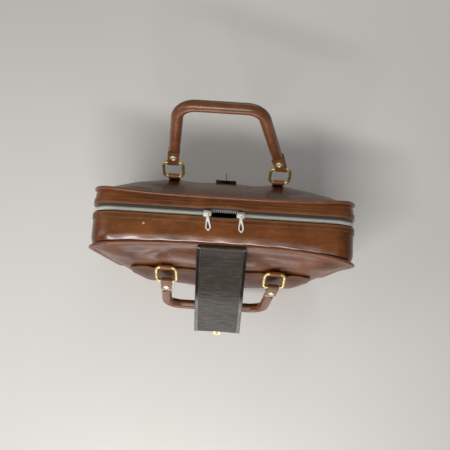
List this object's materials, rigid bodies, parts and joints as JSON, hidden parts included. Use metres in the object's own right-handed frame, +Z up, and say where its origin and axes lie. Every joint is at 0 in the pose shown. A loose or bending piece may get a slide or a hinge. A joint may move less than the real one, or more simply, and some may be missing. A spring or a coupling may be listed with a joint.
{
  "type": "suitcase",
  "caption": "Soft-sided leather travel case that zips round its top and sides, with ring-held rolled handles, a front pocket, a closing strap and a key lock.",
  "frame": {"origin": "on the flat underside, below the middle between the two piping lines", "axes": "+X to the right seen from the front, +Y from the front towards the back, +Z up"},
  "size_m": [0.41, 0.3128, 0.3997],
  "materials": {
    "case_leather": "glossy",
    "dark_leather": "glossy",
    "zip_tape": "matte",
    "nickel": "polished",
    "brass": "polished",
    "lining_cloth": "matte",
    "black_binding": "satin",
    "fibre_board": "matte"
  },
  "bodies": {
    "front_half": {"front_panel": "case_leather", "front_piping": "dark_leather", "front_gusset": "case_leather", "front_facing": "dark_leather", "front_tape": "zip_tape", "front_teeth": "nickel", "front_zip_stops": "nickel", "front_sole": "dark_leather", "base_board": "fibre_board", "front_pocket": "case_leather", "brass_stud": "brass", "front_loop_left": "case_leather", "front_loop_right": "case_leather", "strap_seam": "case_leather", "hinge_strip": "case_leather"},
    "back_half": {"back_panel": "case_leather", "back_piping": "dark_leather", "back_gusset": "case_leather", "back_facing": "dark_leather", "back_tape": "zip_tape", "back_teeth": "nickel", "back_zip_stops": "nickel", "back_sole": "dark_leather", "back_loop_left": "case_leather", "back_loop_right": "case_leather", "lock_case": "brass"},
    "lock_plug": {"lock_plug": "brass"},
    "lock_key": {"lock_key": "brass"},
    "lock_bolt": {"lock_bolt": "nickel"},
    "slider_left": {"slider_left": "nickel"},
    "slider_right": {"slider_right": "nickel"},
    "pull_left": {"pull_left": "nickel"},
    "pull_right": {"pull_right": "nickel"},
    "back_ring_left": {"back_ring_left": "brass"},
    "back_ring_right": {"back_ring_right": "brass"},
    "front_ring_left": {"front_ring_left": "brass"},
    "front_ring_right": {"front_ring_right": "brass"},
    "back_handle": {"back_grip": "case_leather", "back_tab_left": "case_leather", "back_tab_right": "case_leather", "back_rivets": "brass"},
    "front_handle": {"front_grip": "case_leather", "front_tab_left": "case_leather", "front_tab_right": "case_leather", "front_rivets": "brass"},
    "strap_root": {"strap_root": "case_leather", "strap_root_lining": "lining_cloth", "strap_root_binding": "black_binding"},
    "strap_end": {"strap_end": "case_leather", "strap_end_lining": "lining_cloth", "strap_end_binding": "black_binding", "strap_tongue": "brass"}
  },
  "joints": [
    {"name": "case_open", "type": "hinge", "parent": "front_half", "child": "back_half", "pos_m": [0, 0.0125, 0], "axis": [-1, 0, 0], "range_deg": [0, 178], "deforming": ["hinge_strip", "back_teeth", "front_teeth"]},
    {"name": "slider_left", "type": "slide", "parent": "front_half", "child": "slider_left", "axis": [1, 0, 0], "range_m": [-0.135, 0.018]},
    {"name": "slider_right", "type": "slide", "parent": "front_half", "child": "slider_right", "axis": [1, 0, 0], "range_m": [-0.018, 0.135]},
    {"name": "pull_left", "type": "hinge", "parent": "slider_left", "child": "pull_left", "pos_m": [-0.025, 0.0125, 0.2922], "axis": [-1, 0, 0], "range_deg": [0, 180]},
    {"name": "pull_right", "type": "hinge", "parent": "slider_right", "child": "pull_right", "pos_m": [0.025, 0.0125, 0.2922], "axis": [-1, 0, 0], "range_deg": [0, 180]},
    {"name": "back_ring_left", "type": "hinge", "parent": "back_half", "child": "back_ring_left", "pos_m": [-0.085, 0.08126, 0.24025], "axis": [-1, 0, 0], "range_deg": [-51, 124]},
    {"name": "back_ring_right", "type": "hinge", "parent": "back_half", "child": "back_ring_right", "pos_m": [0.085, 0.08126, 0.24025], "axis": [-1, 0, 0], "range_deg": [-51, 124]},
    {"name": "back_handle", "type": "hinge", "parent": "back_ring_left", "child": "back_handle", "pos_m": [-0.085, 0.09494, 0.26829], "axis": [1, 0, 0], "range_deg": [-67, 73]},
    {"name": "front_ring_left", "type": "hinge", "parent": "front_half", "child": "front_ring_left", "pos_m": [-0.085, -0.06749, 0.24368], "axis": [-1, 0, 0], "range_deg": [0, 130]},
    {"name": "front_ring_right", "type": "hinge", "parent": "front_half", "child": "front_ring_right", "pos_m": [0.085, -0.06749, 0.24368], "axis": [-1, 0, 0], "range_deg": [0, 130]},
    {"name": "front_handle", "type": "hinge", "parent": "front_ring_left", "child": "front_handle", "pos_m": [-0.085, -0.08669, 0.2191], "axis": [1, 0, 0], "range_deg": [-102, 2]},
    {"name": "strap_root", "type": "hinge", "parent": "front_half", "child": "strap_root", "pos_m": [0, -0.0396, 0.2928], "axis": [-1, 0, 0], "range_deg": [0, 208]},
    {"name": "strap_end", "type": "hinge", "parent": "strap_root", "child": "strap_end", "pos_m": [0, -0.10432, 0.24578], "axis": [-1, 0, 0], "range_deg": [-15, 78]},
    {"name": "lock_plug", "type": "hinge", "parent": "back_half", "child": "lock_plug", "pos_m": [0, 0.08396, 0.19423], "axis": [0, 0.9761, 0.2172], "range_deg": [0, 90]},
    {"name": "lock_key", "type": "slide", "parent": "lock_plug", "child": "lock_key", "axis": [0, 0.9761, 0.2172], "range_m": [0, 0.014]},
    {"name": "lock_bolt", "type": "slide", "parent": "back_half", "child": "lock_bolt", "axis": [1, 0, 0], "range_m": [0, 0.004]}
  ],
  "couplings": [
    {"joint": "back_ring_right", "follows": "back_ring_left", "ratio": 1},
    {"joint": "front_ring_right", "follows": "front_ring_left", "ratio": 1},
    {"joint": "lock_plug", "follows": "lock_bolt", "rad_per_m": 385}
  ]
}
